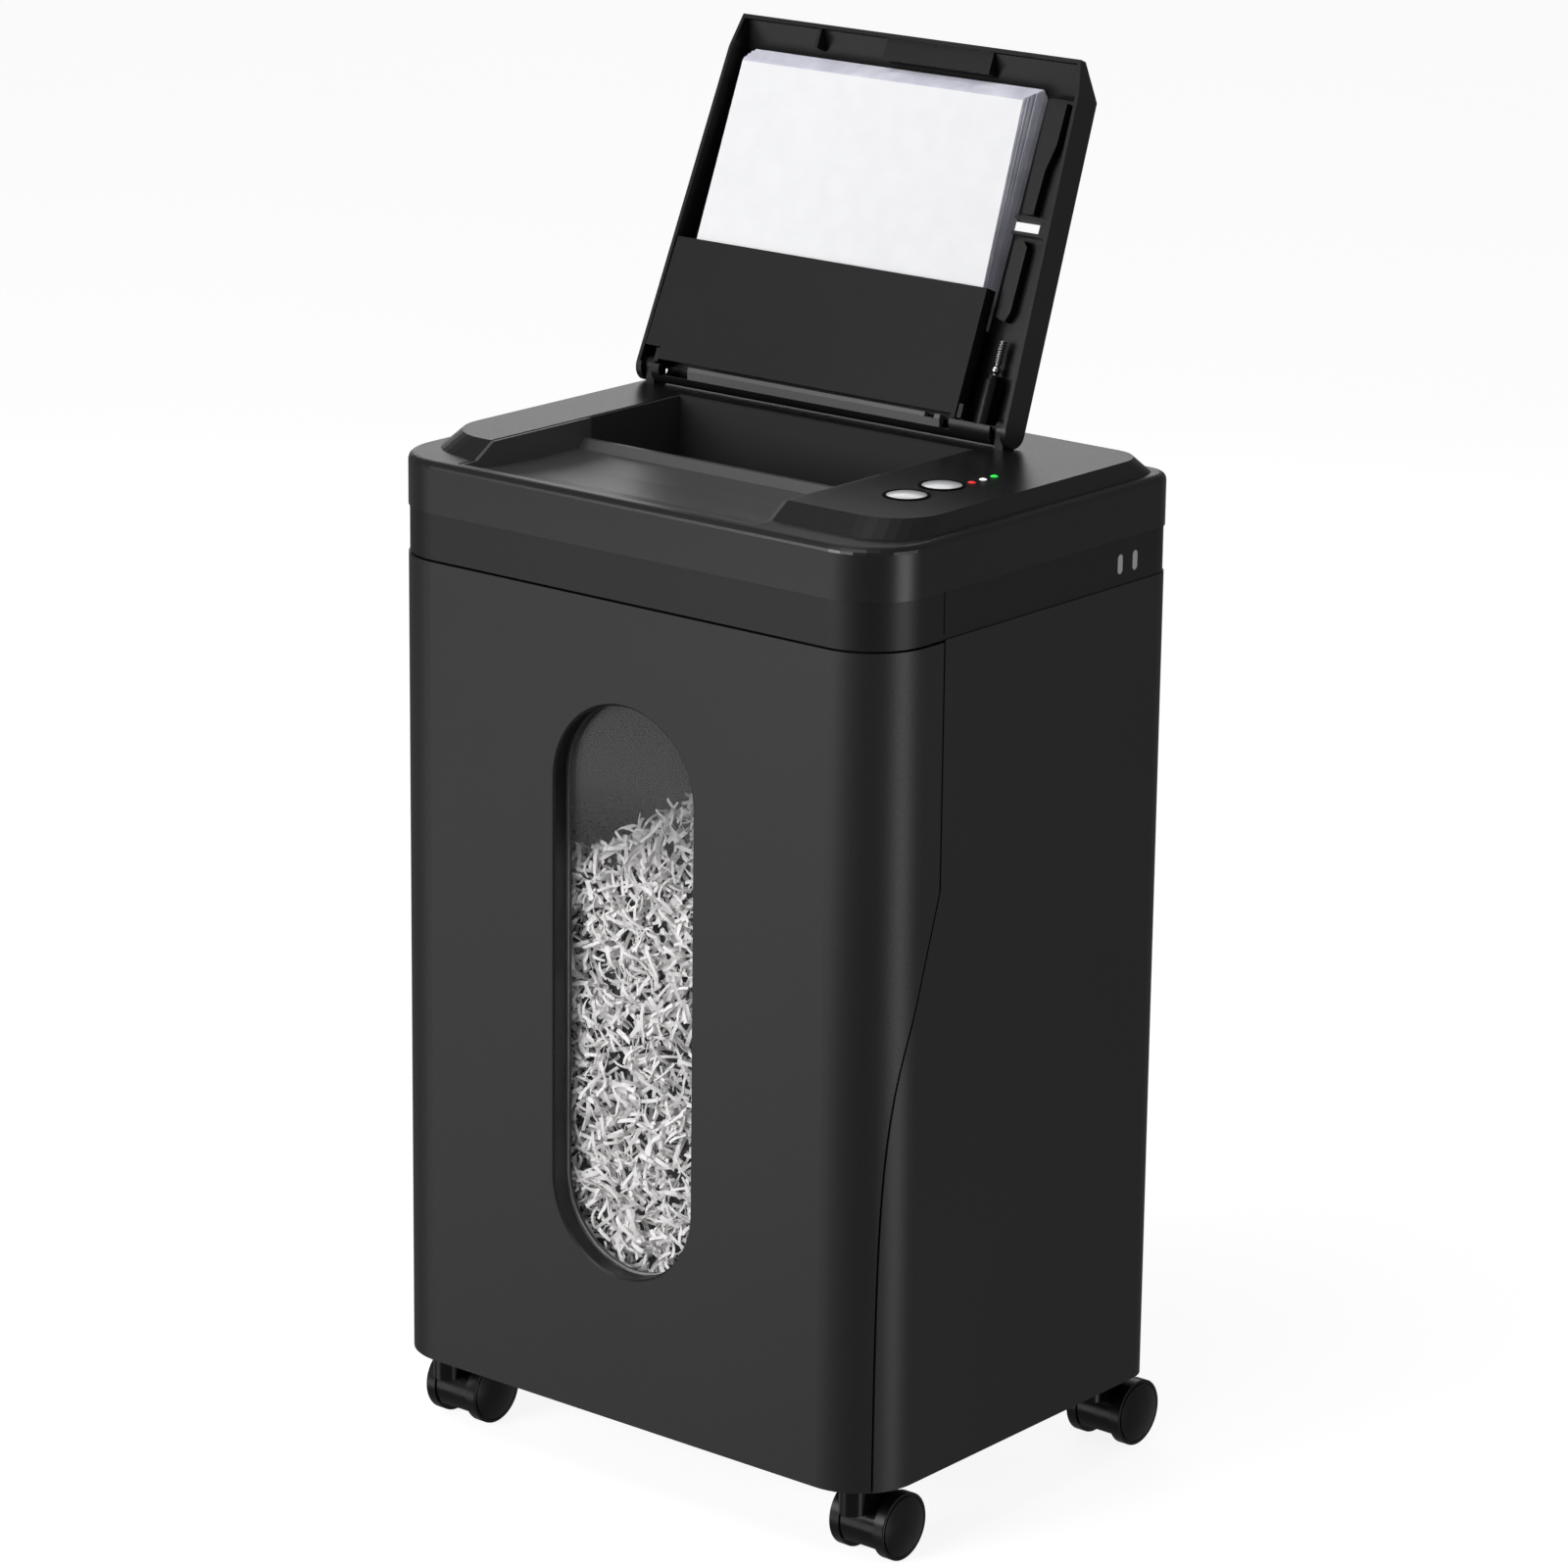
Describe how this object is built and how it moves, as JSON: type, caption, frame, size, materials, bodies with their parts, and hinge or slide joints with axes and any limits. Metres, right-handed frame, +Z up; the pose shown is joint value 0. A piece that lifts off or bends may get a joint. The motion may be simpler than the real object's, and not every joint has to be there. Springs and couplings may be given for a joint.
{
  "type": "paper shredder",
  "caption": "Auto-feed paper shredder with a hinged lid holding a paper stack, a pull-out windowed bin and twin-wheel casters.",
  "frame": {"origin": "on the floor, at the middle of the object's bounding box in plan, with the lid open", "axes": "+Z up, the bin's front faces -Y, +X to the right seen from the front"},
  "size_m": [0.366, 0.2974, 0.815],
  "materials": {
    "cabinet_black": "fine satin texture",
    "lid_black": "fine satin texture",
    "cover_black": "satin",
    "trim_black": "satin gloss",
    "inner_plastic": "moulded",
    "gloss_black": "glossy",
    "grey_bar": "moulded",
    "button_silver": "glossy, domed",
    "light_red": "lit lens",
    "light_white": "lit lens",
    "light_green": "lit lens",
    "light_grey_trim": "satin",
    "steel": "bright",
    "cutter_steel": "hardened, oiled",
    "gear_plastic": "moulded",
    "roller_rubber": "ribbed",
    "motor_grey": "zinc plated can",
    "board_green": "circuit board",
    "switch_red": "moulded",
    "window_clear": "clear, glossy",
    "paper": "uncoated paper"
  },
  "bodies": {
    "cabinet": {"cabinet_shell": "cabinet_black", "cabinet_base": "inner_plastic", "stem_sockets": "steel", "head_chassis": "trim_black", "front_band": "trim_black", "top_cover": "cover_black", "feed_tray": "trim_black", "hinge_posts": "lid_black", "hinge_pins": "steel", "red_light": "light_red", "white_light": "light_white", "green_light": "light_green", "side_slot_inserts": "light_grey_trim", "cutter_left_plate": "steel", "cutter_right_plate": "steel", "gearbox_cover": "inner_plastic", "tie_rods": "steel", "stripper_combs": "gloss_black", "drive_motor": "motor_grey", "control_board": "board_green", "cord_gland": "gloss_black", "power_switch_frame": "gloss_black", "bin_switch": "switch_red", "rear_screws": "steel"},
    "front_cutter": {"front_cutter_shaft": "cutter_steel", "front_cutter_gear": "cutter_steel"},
    "rear_cutter": {"rear_cutter_shaft": "cutter_steel", "rear_cutter_gears": "cutter_steel"},
    "idler": {"idler_gear": "gear_plastic"},
    "motor_rotor": {"motor_pinion": "cutter_steel"},
    "feed_roller": {"feed_shaft": "steel", "feed_rollers": "roller_rubber"},
    "start_button": {"start_button": "button_silver"},
    "reverse_button": {"reverse_button": "button_silver"},
    "power_rocker": {"power_rocker": "gloss_black"},
    "bin": {"bin_front_panel": "cabinet_black", "bin_bucket": "inner_plastic", "window_pane": "window_clear", "window_gasket": "light_grey_trim", "bin_screws": "steel", "paper_shreds": "paper"},
    "lid": {"lid_shell": "lid_black", "pressure_bar": "grey_bar", "spring_barrel": "gloss_black", "spring_plunger": "steel", "flap_pins": "steel", "paper_stack": "paper"},
    "flap": {"flap": "lid_black"},
    "caster_front_left": {"caster_front_left": "gloss_black"},
    "wheel_front_left_outer": {"wheel_front_left_outer": "gloss_black"},
    "wheel_front_left_inner": {"wheel_front_left_inner": "gloss_black"},
    "caster_front_right": {"caster_front_right": "gloss_black"},
    "wheel_front_right_outer": {"wheel_front_right_outer": "gloss_black"},
    "wheel_front_right_inner": {"wheel_front_right_inner": "gloss_black"},
    "caster_rear_left": {"caster_rear_left": "gloss_black"},
    "wheel_rear_left_outer": {"wheel_rear_left_outer": "gloss_black"},
    "wheel_rear_left_inner": {"wheel_rear_left_inner": "gloss_black"},
    "caster_rear_right": {"caster_rear_right": "gloss_black"},
    "wheel_rear_right_outer": {"wheel_rear_right_outer": "gloss_black"},
    "wheel_rear_right_inner": {"wheel_rear_right_inner": "gloss_black"}
  },
  "joints": [
    {"name": "rear_cutter_spin", "type": "hinge", "parent": "cabinet", "child": "rear_cutter", "pos_m": [0.1, 0.03326, 0.537], "axis": [1, 0, 0], "continuous": true},
    {"name": "front_cutter_spin", "type": "hinge", "parent": "cabinet", "child": "front_cutter", "pos_m": [0.1, 0.00526, 0.537], "axis": [1, 0, 0], "continuous": true},
    {"name": "feed_roller_spin", "type": "hinge", "parent": "cabinet", "child": "feed_roller", "pos_m": [0.1, -0.01724, 0.559], "axis": [1, 0, 0], "continuous": true},
    {"name": "idler_spin", "type": "hinge", "parent": "cabinet", "child": "idler", "pos_m": [0.1, 0.06108, 0.55475], "axis": [1, 0, 0], "continuous": true},
    {"name": "motor_spin", "type": "hinge", "parent": "cabinet", "child": "motor_rotor", "pos_m": [0.1, 0.08326, 0.531], "axis": [1, 0, 0], "continuous": true},
    {"name": "start_button_press", "type": "slide", "parent": "cabinet", "child": "start_button", "axis": [0, 0, -1], "range_m": [0, 0.0015], "stiffness_N_per_m": 1200, "springref_m": -0.0005},
    {"name": "reverse_button_press", "type": "slide", "parent": "cabinet", "child": "reverse_button", "axis": [0, 0, -1], "range_m": [0, 0.0015], "stiffness_N_per_m": 1200, "springref_m": -0.0005},
    {"name": "power_rocker_tilt", "type": "hinge", "parent": "cabinet", "child": "power_rocker", "pos_m": [-0.06, 0.11426, 0.5485], "axis": [0, 0, -1], "range_deg": [0, 16]},
    {"name": "bin_pull", "type": "slide", "parent": "cabinet", "child": "bin", "axis": [0, -1, 0], "range_m": [0, 0.2]},
    {"name": "lid_hinge", "type": "hinge", "parent": "cabinet", "child": "lid", "pos_m": [-0.032, 0.06726, 0.613], "axis": [-1, 0, 0], "range_deg": [-112, 0]},
    {"name": "flap_hinge", "type": "hinge", "parent": "lid", "child": "flap", "pos_m": [-0.04, 0.06394, 0.62081], "axis": [1, 0, 0], "range_deg": [0, 50], "stiffness_Nm_per_rad": 0.06, "springref_deg": -11.46},
    {"name": "caster_front_left_swivel", "type": "hinge", "parent": "cabinet", "child": "caster_front_left", "pos_m": [-0.155, -0.12674, 0.06], "axis": [0, 0, 1], "continuous": true},
    {"name": "wheel_front_left_outer_roll", "type": "hinge", "parent": "caster_front_left", "child": "wheel_front_left_outer", "pos_m": [-0.171, -0.10474, 0.02], "axis": [1, 0, 0], "continuous": true},
    {"name": "wheel_front_left_inner_roll", "type": "hinge", "parent": "caster_front_left", "child": "wheel_front_left_inner", "pos_m": [-0.139, -0.10474, 0.02], "axis": [1, 0, 0], "continuous": true},
    {"name": "caster_front_right_swivel", "type": "hinge", "parent": "cabinet", "child": "caster_front_right", "pos_m": [0.155, -0.12674, 0.06], "axis": [0, 0, 1], "continuous": true},
    {"name": "wheel_front_right_outer_roll", "type": "hinge", "parent": "caster_front_right", "child": "wheel_front_right_outer", "pos_m": [0.171, -0.10474, 0.02], "axis": [1, 0, 0], "continuous": true},
    {"name": "wheel_front_right_inner_roll", "type": "hinge", "parent": "caster_front_right", "child": "wheel_front_right_inner", "pos_m": [0.139, -0.10474, 0.02], "axis": [1, 0, 0], "continuous": true},
    {"name": "caster_rear_left_swivel", "type": "hinge", "parent": "cabinet", "child": "caster_rear_left", "pos_m": [-0.155, 0.09726, 0.06], "axis": [0, 0, 1], "continuous": true},
    {"name": "wheel_rear_left_outer_roll", "type": "hinge", "parent": "caster_rear_left", "child": "wheel_rear_left_outer", "pos_m": [-0.171, 0.11926, 0.02], "axis": [1, 0, 0], "continuous": true},
    {"name": "wheel_rear_left_inner_roll", "type": "hinge", "parent": "caster_rear_left", "child": "wheel_rear_left_inner", "pos_m": [-0.139, 0.11926, 0.02], "axis": [1, 0, 0], "continuous": true},
    {"name": "caster_rear_right_swivel", "type": "hinge", "parent": "cabinet", "child": "caster_rear_right", "pos_m": [0.155, 0.09726, 0.06], "axis": [0, 0, 1], "continuous": true},
    {"name": "wheel_rear_right_outer_roll", "type": "hinge", "parent": "caster_rear_right", "child": "wheel_rear_right_outer", "pos_m": [0.171, 0.11926, 0.02], "axis": [1, 0, 0], "continuous": true},
    {"name": "wheel_rear_right_inner_roll", "type": "hinge", "parent": "caster_rear_right", "child": "wheel_rear_right_inner", "pos_m": [0.139, 0.11926, 0.02], "axis": [1, 0, 0], "continuous": true}
  ],
  "couplings": [
    {"joint": "front_cutter_spin", "follows": "rear_cutter_spin", "ratio": -1},
    {"joint": "feed_roller_spin", "follows": "rear_cutter_spin", "ratio": 0.8},
    {"joint": "idler_spin", "follows": "rear_cutter_spin", "ratio": -2.1429},
    {"joint": "motor_spin", "follows": "rear_cutter_spin", "ratio": 7.1429}
  ]
}
